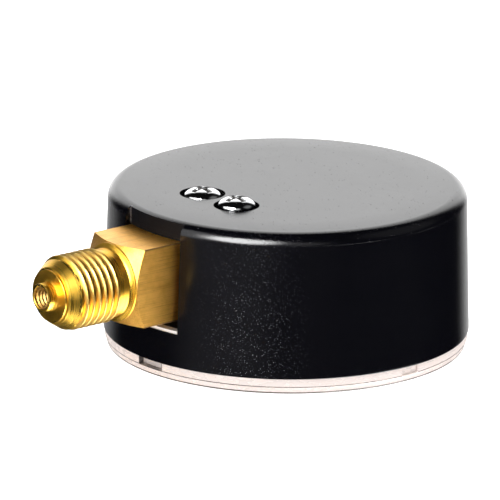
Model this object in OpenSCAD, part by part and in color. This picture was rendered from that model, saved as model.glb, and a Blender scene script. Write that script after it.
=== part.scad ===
// Bottom-entry dial pressure gauge, nominal size 63, lying on its window.
// Millimetres. The origin is the centre of the window's front face and +Z runs
// to the back of the case. The process connection points along -Y (6 o'clock).
// Seen from the front, 3 o'clock is -X, so a clockwise turn is positive about Z.

/* [Case] */
// Outside diameter of the case at its back
case_d = 63; // [60:0.5:66]
// Height from the window's front face to the back of the case
case_h = 28.4; // [28:0.1:30]
// Thickness of the case's side wall
case_wall = 2.05; // [1.8:0.05:2.3]
// Thickness of the case's back wall
case_back = 2.2; // [2:0.1:2.4]
// Radius of the rounded edge round the back
case_edge_r = 2.2; // [1:0.1:2.2]
// How far the socket opening and the dial tab are turned about Z
case_turn = 0.7; // [0:0.1:0.8]

/* [Window] */
// Height of the window's visible rim, under the case
window_rim_h = 2.75; // [2.4:0.05:3.2]
// Thickness of the window's clear disc
window_disc_t = 2; // [1.6:0.1:2.2]
// Width of the window rim's notches in line with the socket
notch_w = 5.8; // [4:0.1:7]
// Width of the window rim's two side notches
side_notch_w = 3.6; // [2:0.1:7]
// Turn of the window's notches about Z
window_turn = 2.5; // [0:0.5:5]

/* [Socket] */
// Width across the flats of the brass socket
flats_w = 14; // [14:0.5:15]
// Height of the socket's axis over the window's front face
axis_z = 17.87; // [17.8:0.01:18]
// Major diameter of the process thread, G1/4 B
thread_d = 13.157; // [12.9:0.001:13.2]
// Distance from the case's centre to the tip of the spigot
tip_y = 54.7; // [54:0.1:56]
// Diameter of the centring spigot
spigot_d = 5; // [4.8:0.1:5.4]
// Tapping diameter of the small inner thread in the spigot
tip_bore_d = 3.3; // [3:0.1:3.4]

/* [Case screws] */
// Distance between the two screws in the back
screw_pitch = 9.34; // [9:0.02:9.4]
// Distance from the case's centre to the line of the screws
screw_y = 15.45; // [15:0.05:16]
// Diameter of the pan heads
screw_head_d = 6.5; // [6:0.1:7]
// Diameter of the counterbores in the case
counterbore_d = 8; // [7.4:0.1:8.2]
// How far the second screw stands off its seat
screw_standoff = 0.55; // [0:0.05:0.6]

/* [Dial] */
// Thickness of the dial plate
dial_t = 0.5; // [0.4:0.05:0.6]
// Length of the pointer from its axis to its tip
pointer_len = 23.5; // [20:0.5:25]
// Full sweep of the pointer in degrees
sweep = 270; // [270]

/* [Movement] */
// Module of the gear teeth
tooth_module = 0.2; // [0.2]
// Teeth on the pinion
pinion_teeth = 14; // [14]
// Teeth on the full circle that the sector is cut from
sector_teeth = 105; // [105]
// Length of the sector's tail from its arbor to the link pin
tail_len = 4.8; // [4.6:0.1:5]

/* [Bourdon tube] */
// Radius of the tube's centreline
tube_r = 20.5; // [20.3:0.1:21]
// Radial thickness of the flattened tube
tube_t = 2.2; // [2:0.1:2.4]
// Width of the flattened tube along Z
tube_w = 8; // [7:0.1:8.4]
// Thickness of the tube's wall
tube_wall = 0.3; // [0.25:0.05:0.4]

/* [Hidden] */
$fn = 96;

brass = "#c99a3c";
satin_brass = "#d4af5a";
black = "#202326";
steel = "#b8bcc0";

eps = 0.01;
solder_gap = 0.03;
thread_gap = 0.02;
bearing_gap = 0.03;

half_flats = flats_w / 2;

// Case
case_r = case_d / 2;
case_rim_r = case_r + 0.5;
case_bead_r = case_r + 0.7;
case_bead_h = 1.4;
case_inner_top_r = case_r - case_wall;
case_inner_rim_r = case_inner_top_r + 0.5;
case_floor_z = case_h - case_back;
cut_half_w = half_flats + 0.45;
ledge_z = 8.65;
cut_top_z = axis_z + flats_w / 2 + 0.13;
recess_r = case_r - 1.1;
boss_r = 5.2;
counterbore_z = case_h - 1.4;
screw_hole_r = 1.9;

// Window
window_band_r = case_r + 0.45;
window_front_r = case_r + 0.1;
window_step_z = 1.2;
window_edge = 0.25;
skirt_r = case_inner_top_r + 0.35;
skirt_t = 1.2;
skirt_top_z = 8;
snap_z = 6;
snap_h = 0.8;
snap_out = 0.25;
notch_depth = 1.15;
notch_h = 1.4;

// Socket
flats_end_y = 39.3;
collar_r = 6.9;
collar_y = 39.6;
neck_r = 6.0;
neck_start_y = 40.1;
neck_y = 42.15;
thread_r = thread_d / 2;
thread_end_y = 50;
cone_r = 5;
cone_y = 52.4;
face_r = 4.6;
face_y = 53;
spigot_r = spigot_d / 2;
bore_mouth_r = 1.9;
bore_mouth_len = 0.25;
tip_bore_len = 8;
passage_r = 1;
block_top_y = 12.5;
tongue_top_y = 7;
tongue_front_z = 21.4;
block_rear_z = axis_z + half_flats;
block_front_z = axis_z - half_flats;

// Case screws
screw_xs = [-screw_pitch / 2, screw_pitch / 2];
screw_shank_r = 1.5;
screw_len = 7.2;
head_side_h = 1.1;
head_dome_h = 1.3;
recess_len = 4.4;
recess_w = 1.0;
recess_depth = 1.4;
recess_turn = 0;

// Bourdon tube
tube_z = 18;
tube_start = -87;
tube_end = 165;
tip_gap_deg = 0.15;
tip_cap_deg = 3;
tip_wall = 0.35;

// Movement
plate_t = 1.2;
back_plate_z = tongue_front_z - plate_t;
front_plate_z = 12.6;
front_plate_t = 1;
gap_z = front_plate_z + front_plate_t;
plate_x = [-14, 6.5];
plate_y = [-10.5, 8.5];
plate_corner_r = 2.5;
pillar_spots = [[4.3, 4.3], [4.3, -8.3], [-11.3, 6.4]];
pillar_r = 1.25;
rivet_r = 0.8;
movement_screw_spots = [[4.4, -5.5], [-4.4, 4.2]];
movement_screw_r = 1;
movement_head_r = 1.9;
movement_head_h = 1.4;

// Gears
pressure_angle = 20;
backlash = 0.035;
pinion_r = tooth_module * pinion_teeth / 2;
sector_r = tooth_module * sector_teeth / 2;
gear_distance = pinion_r + sector_r + 0.03;
arbor_dir = 210;
arbor = gear_distance * [cos(arbor_dir), sin(arbor_dir)];
mesh_dir = arbor_dir - 180;
sector_travel = sweep * pinion_teeth / sector_teeth;
sector_margin = 7;
sector_z = 17;
sector_t = 1;
tail_dir = 198;
tail_end = arbor + tail_len * [cos(tail_dir), sin(tail_dir)];
tip_dir = 167;
tip_pin_r = 16.6;
tip_spot = tip_pin_r * [cos(tip_dir), sin(tip_dir)];
shaft_r = 0.8;
shaft_pivot_r = 0.4;
arbor_pivot_r = 0.5;
arbor_r = 1.2;
link_z = 18.35;
link_t = 0.6;
pin_r = 0.42;
open_pivot_r = 0.72;

// Hairspring
spring_inner_r = 1.65;
spring_outer_r = 4.3;
spring_turns = 4;
spring_t = 0.14;
spring_z = 14.2;
spring_h = 1;
stud_r = 0.5;
steps_per_turn = 24;

// Dial and pointer
dial_z = ledge_z;
dial_r = case_inner_top_r - 0.25;
dial_hole_r = 3;
tab_half_w = cut_half_w - 0.2;
tab_r = case_r + 0.35;
dial_screw_spots = [[-4.4, -16], [4.4, -16]];
pointer_z = 5.6;
pointer_t = 0.5;
hub_r = 1.9;
hub_neck_r = 1.1;
hub_back_z = 7.6;
hub_front_z = 5;
zero_dir = -45;
pointer_tail = 8;
stop_pin_r = 0.5;
stop_radius = 17;

// A point at radius r and direction a
function polar(r, a) = [r * cos(a), r * sin(a)];

// Involute function, in degrees
function involute(a) = tan(a) * 180 / PI - a;

// Half the angle that a gear tooth fills at radius r
function half_tooth(r, teeth) =
    let (pitch_r = tooth_module * teeth / 2)
    let (base_r = pitch_r * cos(pressure_angle))
    let (at_pitch = 90 / teeth - backlash / 2 / pitch_r * 180 / PI)
    at_pitch + involute(pressure_angle) - involute(acos(min(1, base_r / r)));

// One gear tooth, its centreline along +X
module tooth(teeth, root_r, tip_r) {
    steps = 4;
    radii = [for (k = [0:steps]) root_r + (tip_r - root_r) * k / steps];
    lower = [for (r = radii) polar(r, -half_tooth(r, teeth))];
    upper = [for (k = [steps:-1:0]) polar(radii[k], half_tooth(radii[k], teeth))];
    foot = root_r - 0.1;
    foot_half = half_tooth(root_r, teeth);
    polygon(concat([polar(foot, -foot_half)], lower, upper, [polar(foot, foot_half)]));
}

// A rectangle with round corners, drawn from exact circles
module rounded_plate(x, y, r) {
    translate([x[0] + r, y[0]])
        square([x[1] - x[0] - 2 * r, y[1] - y[0]]);
    translate([x[0], y[0] + r])
        square([x[1] - x[0], y[1] - y[0] - 2 * r]);
    for (cx = [x[0] + r, x[1] - r])
        for (cy = [y[0] + r, y[1] - r])
            translate([cx, cy])
                circle(r);
}

// A straight bar with round ends between two points
module bar(a, b, w) {
    span = b - a;
    translate(a)
        rotate(atan2(span[1], span[0]))
            translate([0, -w / 2])
                square([norm(span), w]);
    translate(a)
        circle(w / 2);
    translate(b)
        circle(w / 2);
}

// A vertical rod from z0 to z1
module rod(r, z0, z1) {
    translate([0, 0, z0])
        cylinder(r = r, h = z1 - z0);
}

// The flattened tube's outline, standing at radius tube_r
module tube_outline(t, w) {
    translate([tube_r, tube_z]) {
        square([t, w - t], center = true);
        for (s = [-1, 1])
            translate([0, s * (w - t) / 2])
                circle(t / 2);
    }
}

// Slotted cheese head from z0 down to z0 - h, slot on its lower face
module slotted_head(r, h, z0) {
    slot_w = 0.4;
    slot_depth = 0.4;
    difference() {
        rod(r, z0 - h, z0);
        translate([0, 0, z0 - h])
            cube([2 * r + 1, slot_w, 2 * slot_depth], center = true);
    }
}

module case_profile() {
    edge_z = case_h - case_edge_r;
    bead_z = window_rim_h + case_bead_h;
    difference() {
        union() {
            polygon([
                [0, case_h],
                [case_r - case_edge_r, case_h],
                [case_r, edge_z],
                [case_rim_r, bead_z],
                [case_bead_r, bead_z - 0.2],
                [case_bead_r, window_rim_h],
                [0, window_rim_h]
            ]);
            translate([case_r - case_edge_r, edge_z])
                circle(case_edge_r);
        }
        polygon([
            [-1, window_rim_h - 1],
            [case_inner_rim_r, window_rim_h - 1],
            [case_inner_rim_r, window_rim_h],
            [case_inner_top_r, case_floor_z],
            [-1, case_floor_z]
        ]);
        translate([0, snap_z - 0.1])
            square([case_inner_rim_r + 0.2, snap_h + 0.2]);
        translate([-case_r, 0])
            square([case_r, case_h + 1]);
    }
}

// The opening for the socket, with the shallow recess above it
module socket_opening() {
    depth = 6;
    translate([-cut_half_w, -case_bead_r - 1, ledge_z])
        cube([2 * cut_half_w, depth, cut_top_z - ledge_z]);
    difference() {
        translate([-cut_half_w, -case_bead_r - 1, ledge_z])
            cube([2 * cut_half_w, depth, case_h]);
        rod(recess_r, 0, case_h + ledge_z);
    }
}

module case() {
    color(black)
        difference() {
            union() {
                rotate_extrude()
                    case_profile();
                for (x = screw_xs)
                    translate([x, -screw_y])
                        rod(boss_r, block_rear_z, case_floor_z + eps);
            }
            rotate(case_turn)
                socket_opening();
            for (x = screw_xs)
                translate([x, -screw_y]) {
                    rod(counterbore_d / 2, counterbore_z, case_h + 1);
                    rod(screw_hole_r, block_rear_z - 1, case_h);
                }
        }
}

module window_profile() {
    polygon([
        [0, 0],
        [window_front_r - window_edge, 0],
        [window_front_r, window_edge],
        [window_front_r, window_step_z],
        [window_band_r, window_step_z],
        [window_band_r, window_rim_h],
        [skirt_r, window_rim_h],
        [skirt_r, snap_z],
        [skirt_r + snap_out, snap_z],
        [skirt_r + snap_out, snap_z + 0.4],
        [skirt_r, snap_z + snap_h],
        [skirt_r, skirt_top_z],
        [skirt_r - skirt_t, skirt_top_z],
        [skirt_r - skirt_t, window_disc_t],
        [0, window_disc_t]
    ]);
}

// A notch cutter, w wide about the X axis, from its floor up
module window_notch(w) {
    translate([0, -w / 2, 0])
        cube([3, w, 3]);
}

module window() {
    color([0.93, 0.88, 0.86, 0.5])
        difference() {
            rotate_extrude()
                window_profile();
            for (k = [0:3])
                rotate(window_turn + 90 * (k - 1))
                    translate([window_band_r - notch_depth, 0, window_rim_h - notch_h])
                        window_notch(k % 2 == 0 ? notch_w : side_notch_w);
        }
}

// One pan-head screw: the head's underside at z0, its dome upwards
module case_screw(z0) {
    head_r = screw_head_d / 2;
    dome_r = (pow(head_r, 2) + pow(head_dome_h, 2)) / (2 * head_dome_h);
    top_z = z0 + head_side_h + head_dome_h;
    difference() {
        union() {
            rod(head_r, z0, z0 + head_side_h);
            translate([0, 0, top_z - dome_r])
                rotate_extrude()
                    intersection() {
                        circle(dome_r);
                        translate([0, dome_r - head_dome_h])
                            square([head_r, head_dome_h]);
                    }
            rod(screw_shank_r, z0 - screw_len, z0 + eps);
        }
        for (a = [0, 90])
            rotate(a + recess_turn)
                translate([0, 0, top_z])
                    cube([recess_len, recess_w, 2 * recess_depth], center = true);
    }
}

module case_screws() {
    color(steel)
        for (k = [0, 1])
            translate([screw_xs[k], -screw_y])
                case_screw(counterbore_z + k * screw_standoff);
}

// Turned outline of the socket, from the flats' chamfer to the tip
module socket_turning() {
    chamfer_y = flats_end_y - (half_flats * sqrt(2) - collar_r) * tan(30);
    rotate([90, 0, 0])
        rotate_extrude()
            polygon([
                [0, 0],
                [half_flats * sqrt(2) + 0.1, 0],
                [half_flats * sqrt(2) + 0.1, chamfer_y - 0.1 * tan(30)],
                [collar_r, flats_end_y],
                [collar_r, collar_y],
                [neck_r, neck_start_y],
                [neck_r, neck_y],
                [thread_r, neck_y],
                [thread_r, thread_end_y],
                [cone_r, cone_y],
                [face_r, cone_y + 0.1],
                [face_r, face_y],
                [spigot_r, face_y],
                [spigot_r, tip_y],
                [0, tip_y]
            ]);
}

module socket() {
    color(brass)
        difference() {
            union() {
                intersection() {
                    translate([0, 0, axis_z])
                        socket_turning();
                    translate([-half_flats, -tip_y - 1, block_front_z])
                        cube([flats_w, tip_y + 1 - block_top_y, flats_w]);
                }
                translate([-half_flats, -block_top_y - 1, tongue_front_z])
                    cube([flats_w, tongue_top_y + block_top_y + 1, block_rear_z - tongue_front_z]);
            }
            // Pressure passage from the spigot to the tube's slot
            translate([0, -tip_y, axis_z])
                rotate([-90, 0, 0]) {
                    rod(tip_bore_d / 2, -1, tip_bore_len + bore_mouth_len);
                    rod(bore_mouth_r, -1, bore_mouth_len);
                    rod(passage_r, 0, tip_y - tube_r);
                }
            // Slot that the tube is soldered into
            rotate(tube_start - 8)
                rotate_extrude(angle = 32)
                    tube_outline(tube_t + 2 * solder_gap, tube_w + 2 * solder_gap);
            for (x = screw_xs)
                translate([x, -screw_y])
                    rod(screw_shank_r + thread_gap, 18.6, block_rear_z + 1);
            for (p = dial_screw_spots)
                translate(p)
                    rod(1 + thread_gap, block_front_z - 1, 13.8);
            for (p = movement_screw_spots)
                translate(p) {
                    rod(movement_screw_r + 0.1, tongue_front_z - 1, block_rear_z + 1);
                    rod(movement_head_r + 0.2, block_rear_z - movement_head_h - 0.1, block_rear_z + 1);
                }
        }
}

module bourdon_tube() {
    color(satin_brass)
        rotate(tube_start)
            rotate_extrude(angle = tube_end - tube_start)
                difference() {
                    tube_outline(tube_t, tube_w);
                    tube_outline(tube_t - 2 * tube_wall, tube_w - 2 * tube_wall);
                }
}

// Cap that closes the tube, with the ear that carries the link
module tube_tip() {
    ear_w = 2.8;
    color(brass)
        difference() {
            union() {
                rotate(tube_end + tip_gap_deg)
                    rotate_extrude(angle = tip_cap_deg)
                        tube_outline(tube_t + 2 * tip_wall, tube_w + 2 * tip_wall);
                translate([0, 0, sector_z])
                    linear_extrude(sector_t)
                        bar(tip_spot, polar(tube_r - 0.8, tube_end + tip_cap_deg - 0.6), ear_w / 2);
                translate([tip_spot[0], tip_spot[1]])
                    rod(ear_w / 2, sector_z, sector_z + sector_t);
            }
            translate([tip_spot[0], tip_spot[1]])
                rod(pin_r, sector_z - 1, sector_z + sector_t + 1);
        }
}

// Headed pin for one end of the link, with a spacing collar under the link
module link_pin(collar_r) {
    rod(pin_r, sector_z - 0.3, link_z + link_t + 0.4);
    rod(collar_r, sector_z - 0.5, sector_z);
    rod(collar_r - 0.1, sector_z + sector_t, link_z - 0.1);
    rod(collar_r, link_z + link_t + 0.1, link_z + link_t + 0.4);
}

module tip_pin() {
    color(steel)
        translate([tip_spot[0], tip_spot[1]])
            link_pin(0.9);
}

module tail_pin() {
    color(steel)
        translate([tail_end[0], tail_end[1]])
            link_pin(1.1);
}

module link() {
    eye_w = 2.6;
    color(satin_brass)
        translate([0, 0, link_z])
            linear_extrude(link_t)
                difference() {
                    union() {
                        bar(tip_spot, tail_end, 1.4);
                        translate(tip_spot)
                            circle(eye_w / 2);
                        translate(tail_end)
                            circle(eye_w / 2);
                    }
                    translate(tip_spot)
                        circle(pin_r + bearing_gap);
                    translate(tail_end)
                        circle(open_pivot_r);
                }
}

// Toothed rim, arms and tail of the sector, drawn about its own arbor
module sector_outline() {
    low = mesh_dir - sector_margin;
    high = mesh_dir + sector_travel + sector_margin;
    pitch = 360 / sector_teeth;
    root_r = sector_r - 1.25 * tooth_module;
    tip_r = sector_r + 0.9 * tooth_module;
    rim_t = 1.2;
    reach = 2 * sector_r;
    count = floor((sector_travel + 2 * sector_margin) / pitch);
    difference() {
        circle(root_r);
        circle(root_r - rim_t);
        polygon([[0, 0], polar(reach, high), polar(reach, high + 80), polar(reach, high + 160),
            polar(reach, low - 80), polar(reach, low)]);
    }
    for (k = [0:count - 1])
        rotate(mesh_dir + (k - 1.5) * pitch)
            tooth(sector_teeth, root_r, tip_r);
    for (a = [low + 1.5, (low + high) / 2, high - 1.5])
        bar([0, 0], polar(root_r - rim_t / 2, a), 1.2);
    circle(2.2);
    bar([0, 0], polar(tail_len, tail_dir), 1.8);
    translate(polar(tail_len, tail_dir))
        circle(1.3);
}

module sector_gear() {
    color(satin_brass)
        translate([arbor[0], arbor[1], sector_z])
            linear_extrude(sector_t)
                difference() {
                    sector_outline();
                    circle(arbor_r);
                    translate(polar(tail_len, tail_dir))
                        circle(pin_r);
                }
}

module sector_arbor() {
    color(steel)
        translate([arbor[0], arbor[1]]) {
            rod(arbor_pivot_r, front_plate_z + 0.1, tongue_front_z - 0.1);
            rod(1, gap_z + 0.15, back_plate_z - 0.15);
            rod(arbor_r, sector_z - 0.4, sector_z + sector_t + 0.6);
            rod(2, sector_z - 0.8, sector_z);
        }
}

module pinion_shaft() {
    root_r = pinion_r - 1.25 * tooth_module;
    tip_r = pinion_r + 0.95 * tooth_module;
    face_z = [16.4, 18.6];
    color(steel) {
        rod(shaft_r, hub_front_z + 0.3, face_z[1] + 0.8);
        rod(shaft_pivot_r, face_z[1], tongue_front_z - 0.2);
        translate([0, 0, face_z[0]])
            linear_extrude(face_z[1] - face_z[0])
                union() {
                    circle(root_r);
                    for (k = [0:pinion_teeth - 1])
                        rotate(arbor_dir + k * 360 / pinion_teeth)
                            tooth(pinion_teeth, root_r, tip_r);
                }
    }
}

module hairspring_collet() {
    color(brass)
        difference() {
            rod(spring_inner_r - 0.05, spring_z - 0.3, spring_z + spring_h + 0.4);
            rod(shaft_r, spring_z - 1, spring_z + spring_h + 1);
        }
}

// Flat spiral spring, wound outwards from the collet to the stud
module hairspring() {
    count = spring_turns * steps_per_turn;
    growth = (spring_outer_r - spring_inner_r - spring_t) / count;
    inner = [for (k = [0:count]) polar(spring_inner_r + growth * k, k * 360 / steps_per_turn)];
    outer = [
        for (k = [count:-1:0])
            polar(spring_inner_r + spring_t + growth * k, k * 360 / steps_per_turn)
    ];
    color(steel)
        translate([0, 0, spring_z])
            linear_extrude(spring_h)
                polygon(concat(inner, outer));
}

module hairspring_stud() {
    color(brass)
        translate([spring_outer_r + stud_r, 0])
            rod(stud_r, front_plate_z, spring_z + spring_h + 0.4);
}

module movement_back_plate() {
    color(satin_brass)
        translate([0, 0, back_plate_z])
            linear_extrude(plate_t)
                difference() {
                    rounded_plate(plate_x, plate_y, plate_corner_r);
                    circle(shaft_pivot_r + bearing_gap);
                    translate(arbor)
                        circle(arbor_pivot_r + bearing_gap);
                    for (p = pillar_spots)
                        translate(p)
                            circle(rivet_r);
                    for (p = movement_screw_spots)
                        translate(p)
                            circle(movement_screw_r + thread_gap);
                }
}

module movement_front_plate() {
    color(satin_brass)
        translate([0, 0, front_plate_z])
            linear_extrude(front_plate_t)
                difference() {
                    rounded_plate(plate_x, plate_y, plate_corner_r);
                    circle(shaft_r + bearing_gap);
                    translate(arbor)
                        circle(arbor_pivot_r + bearing_gap);
                    translate([spring_outer_r + stud_r, 0])
                        circle(stud_r);
                    for (p = pillar_spots)
                        translate(p)
                            circle(rivet_r + 0.1);
                }
}

module movement_pillars() {
    color(brass)
        for (p = pillar_spots)
            translate(p)
                difference() {
                    union() {
                        rod(pillar_r, gap_z, back_plate_z);
                        rod(rivet_r, back_plate_z - eps, tongue_front_z);
                    }
                    rod(rivet_r + thread_gap, gap_z - 1, gap_z + 3.4);
                }
}

module plate_screws() {
    color(steel)
        for (p = pillar_spots)
            translate(p) {
                slotted_head(1.6, 1, front_plate_z);
                rod(rivet_r, front_plate_z - eps, gap_z + 3);
            }
}

module movement_screws() {
    color(steel)
        for (p = movement_screw_spots)
            translate([p[0], p[1], block_rear_z - movement_head_h])
                mirror([0, 0, 1]) {
                    slotted_head(movement_head_r, movement_head_h, 0);
                    rod(movement_screw_r, -eps, 3.2);
                }
}

module dial() {
    color("white")
        translate([0, 0, dial_z])
            linear_extrude(dial_t)
                difference() {
                    union() {
                        circle(dial_r);
                        rotate(case_turn)
                            intersection() {
                                circle(tab_r);
                                translate([-tab_half_w, -tab_r])
                                    square([2 * tab_half_w, tab_r / 2]);
                            }
                    }
                    circle(dial_hole_r);
                    for (p = dial_screw_spots)
                        translate(p)
                            circle(1 + 0.1);
                    translate(polar(stop_radius, zero_dir - 3.4))
                        circle(stop_pin_r);
                }
}

module dial_spacers() {
    color(brass)
        for (p = dial_screw_spots)
            translate(p)
                difference() {
                    rod(2.2, dial_z + dial_t, block_front_z);
                    rod(1.1, dial_z, block_front_z + 1);
                }
}

module dial_screws() {
    color(steel)
        for (p = dial_screw_spots)
            translate(p) {
                slotted_head(1.7, 0.9, dial_z);
                rod(1, dial_z - eps, 13.5);
            }
}

module pointer() {
    color(black)
        rotate(zero_dir)
            translate([0, 0, pointer_z])
                difference() {
                    union() {
                        linear_extrude(pointer_t)
                            polygon([
                                [-pointer_tail, -1.5],
                                [-pointer_tail, 1.5],
                                [0, 1],
                                [pointer_len - 2, 0.45],
                                [pointer_len, 0],
                                [pointer_len - 2, -0.45],
                                [0, -1]
                            ]);
                        rod(2.6, 0, pointer_t);
                    }
                    rod(hub_neck_r, -1, pointer_t + 1);
                }
}

module pointer_hub() {
    color(brass)
        difference() {
            union() {
                rod(hub_r, hub_front_z, pointer_z);
                rod(hub_neck_r, pointer_z - eps, pointer_z + pointer_t + eps);
                rod(hub_r, pointer_z + pointer_t, hub_back_z);
            }
            rod(shaft_r, hub_front_z + 0.3, hub_back_z + 1);
        }
}

module stop_pin() {
    color(brass)
        translate(polar(stop_radius, zero_dir - 3.4))
            rod(stop_pin_r, pointer_z - 0.8, dial_z + dial_t);
}

case();
window();
case_screws();
socket();
bourdon_tube();
tube_tip();
tip_pin();
link();
tail_pin();
sector_gear();
sector_arbor();
pinion_shaft();
hairspring();
hairspring_collet();
hairspring_stud();
movement_back_plate();
movement_front_plate();
movement_pillars();
plate_screws();
movement_screws();
dial();
dial_spacers();
dial_screws();
pointer();
pointer_hub();
stop_pin();
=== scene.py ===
import math

import bmesh
import bpy
from mathutils import Matrix, Vector


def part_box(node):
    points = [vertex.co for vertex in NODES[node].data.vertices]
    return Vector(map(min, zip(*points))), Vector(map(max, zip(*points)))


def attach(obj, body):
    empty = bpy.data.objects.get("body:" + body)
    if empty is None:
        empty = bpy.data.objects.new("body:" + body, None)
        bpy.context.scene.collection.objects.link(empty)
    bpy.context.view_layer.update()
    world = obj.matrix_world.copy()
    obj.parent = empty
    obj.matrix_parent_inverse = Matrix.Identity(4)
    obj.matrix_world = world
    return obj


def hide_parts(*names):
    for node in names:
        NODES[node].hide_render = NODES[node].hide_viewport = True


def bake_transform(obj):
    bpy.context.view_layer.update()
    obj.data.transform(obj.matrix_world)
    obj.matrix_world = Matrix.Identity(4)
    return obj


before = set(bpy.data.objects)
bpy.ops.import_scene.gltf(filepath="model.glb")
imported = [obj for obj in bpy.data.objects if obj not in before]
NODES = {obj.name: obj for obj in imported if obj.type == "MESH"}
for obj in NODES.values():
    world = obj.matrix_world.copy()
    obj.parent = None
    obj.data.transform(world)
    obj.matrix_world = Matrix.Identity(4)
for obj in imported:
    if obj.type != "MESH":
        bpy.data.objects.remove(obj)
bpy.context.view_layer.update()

# Pressure gauge lying on its window. The script's own lengths are millimetres and become
# metres through MM. +Z is the back of the case, -Y the process connection.
MM = 0.001


def node_box(name):
    """Lowest and highest corner of a CAD node, in millimetres."""
    low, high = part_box(name)
    return low / MM, high / MM


# ---------------------------------------------------------------- sizes that several pieces share

CASE_LOW, CASE_HIGH = node_box("case")
SOCKET_LOW, SOCKET_HIGH = node_box("socket")
SCREWS_LOW, SCREWS_HIGH = node_box("case_screws")

BACK_Z = CASE_HIGH.z
RIM_Z = CASE_LOW.z
BEAD_R = CASE_HIGH.x
BACK_R = BEAD_R - 0.7
WALL_T = 2.05
SHANK_Z = 17.87
HALF_FLATS = SOCKET_HIGH.x
DIAL_R = 29.2
# Height of the dial's face, and of the ledge in the case's opening that the dial's tab lies on
DIAL_FACE_Z = node_box("dial")[0].z
HEAD_R = 3.25
SCREW_X = (SCREWS_HIGH.x - SCREWS_LOW.x) / 2 - HEAD_R
SCREW_Y = (SCREWS_HIGH.y + SCREWS_LOW.y) / 2
SCREW_SEAT_Z = BACK_Z - 1.4
# The middle of the dusty side of the wall
DUST_SPOT = (19.9, -24.6, 0.0)

# ---------------------------------------------------------------- mesh helpers


def linked(name, data):
    """A new object in the scene with this data."""
    obj = bpy.data.objects.new(name, data)
    bpy.context.scene.collection.objects.link(obj)
    return obj


def from_pydata(name, verts, faces):
    """A mesh object from millimetre points, with its normals outwards."""
    mesh = bpy.data.meshes.new(name)
    mesh.from_pydata([Vector(v) * MM for v in verts], [], faces)
    obj = linked(name, mesh)
    outward(obj)
    return obj


def outward(obj):
    """Turns every face of a closed mesh outwards."""
    bm = bmesh.new()
    bm.from_mesh(obj.data)
    bmesh.ops.recalc_face_normals(bm, faces=bm.faces)
    bm.to_mesh(obj.data)
    bm.free()


def shade(obj, angle):
    """Smooth shading, with a sharp edge wherever two faces meet at more than angle degrees."""
    bm = bmesh.new()
    bm.from_mesh(obj.data)
    limit = math.radians(angle)
    for face in bm.faces:
        face.smooth = True
    for edge in bm.edges:
        edge.smooth = len(edge.link_faces) == 2 and edge.calc_face_angle(0) < limit
    bm.to_mesh(obj.data)
    bm.free()
    return obj


def lathe(name, profile, segments, closed=True, centre=(0, 0)):
    """Turns (radius, height) points about a vertical axis. A point at radius 0 becomes a pole.

    A closed profile is joined from its last point to its first one.
    """
    verts, rings = [], []
    for r, z in profile:
        if r < 1e-6:
            rings.append([len(verts)])
            verts.append((centre[0], centre[1], z))
            continue
        rings.append(list(range(len(verts), len(verts) + segments)))
        for k in range(segments):
            a = 2 * math.pi * k / segments
            verts.append((centre[0] + r * math.cos(a), centre[1] + r * math.sin(a), z))
    faces = []
    count = len(rings)
    for i in range(count if closed else count - 1):
        lower, upper = rings[i], rings[(i + 1) % count]
        if len(lower) == 1 and len(upper) == 1:
            continue
        for k in range(segments):
            n = (k + 1) % segments
            if len(lower) == 1:
                faces.append((lower[0], upper[n], upper[k]))
            elif len(upper) == 1:
                faces.append((lower[k], lower[n], upper[0]))
            else:
                faces.append((lower[k], lower[n], upper[n], upper[k]))
    return from_pydata(name, verts, faces)


def arc(cx, cy, r, start, end, steps):
    """Points on an arc, from start to end degrees."""
    return [
        (cx + r * math.cos(math.radians(start + (end - start) * k / steps)),
         cy + r * math.sin(math.radians(start + (end - start) * k / steps)))
        for k in range(steps + 1)
    ]


def box_mesh(name, low, high):
    """A closed box used as a cutter."""
    xs, ys, zs = zip(low, high)
    verts = [(x, y, z) for x in xs for y in ys for z in zs]
    faces = [(0, 1, 3, 2), (4, 6, 7, 5), (0, 4, 5, 1), (2, 3, 7, 6), (0, 2, 6, 4), (1, 5, 7, 3)]
    return from_pydata(name, verts, faces)


def turn_z(obj, degrees):
    """Turns a cutter's own mesh about the Z axis."""
    obj.data.transform(Matrix.Rotation(math.radians(degrees), 4, "Z"))
    return obj


def boolean(obj, cutter, operation="DIFFERENCE"):
    """Applies one exact boolean and removes the cutter."""
    mod = obj.modifiers.new("cut", "BOOLEAN")
    mod.operation = operation
    mod.solver = "EXACT"
    mod.object = cutter
    bake_modifiers(obj)
    bpy.data.objects.remove(cutter)


def bake_modifiers(obj):
    """Replaces the mesh with its evaluated form and drops the modifiers."""
    graph = bpy.context.evaluated_depsgraph_get()
    mesh = bpy.data.meshes.new_from_object(obj.evaluated_get(graph))
    obj.modifiers.clear()
    obj.data = mesh


def bevel(obj, width, segments, angle):
    """Rounds every edge sharper than angle degrees."""
    mod = obj.modifiers.new("bevel", "BEVEL")
    mod.width = width * MM
    mod.segments = segments
    mod.limit_method = "ANGLE"
    mod.angle_limit = math.radians(angle)
    mod.use_clamp_overlap = True
    bake_modifiers(obj)


def join(objs, name):
    """Joins mesh objects into the first one and names it."""
    bm = bmesh.new()
    base = objs[0]
    for extra in objs:
        bm.from_mesh(extra.data)
    bm.to_mesh(base.data)
    bm.free()
    for extra in objs[1:]:
        bpy.data.objects.remove(extra)
    base.name = name
    return base


def place(obj, body, slot, *replaced):
    """Says what a piece rides on and which CAD nodes it stands for.

    The blended piece rides on no single body, so its body is None. The slot argument is not used.
    """
    if body:
        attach(obj, body)
    if replaced:
        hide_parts(*replaced)


# ---------------------------------------------------------------- material helpers


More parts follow.
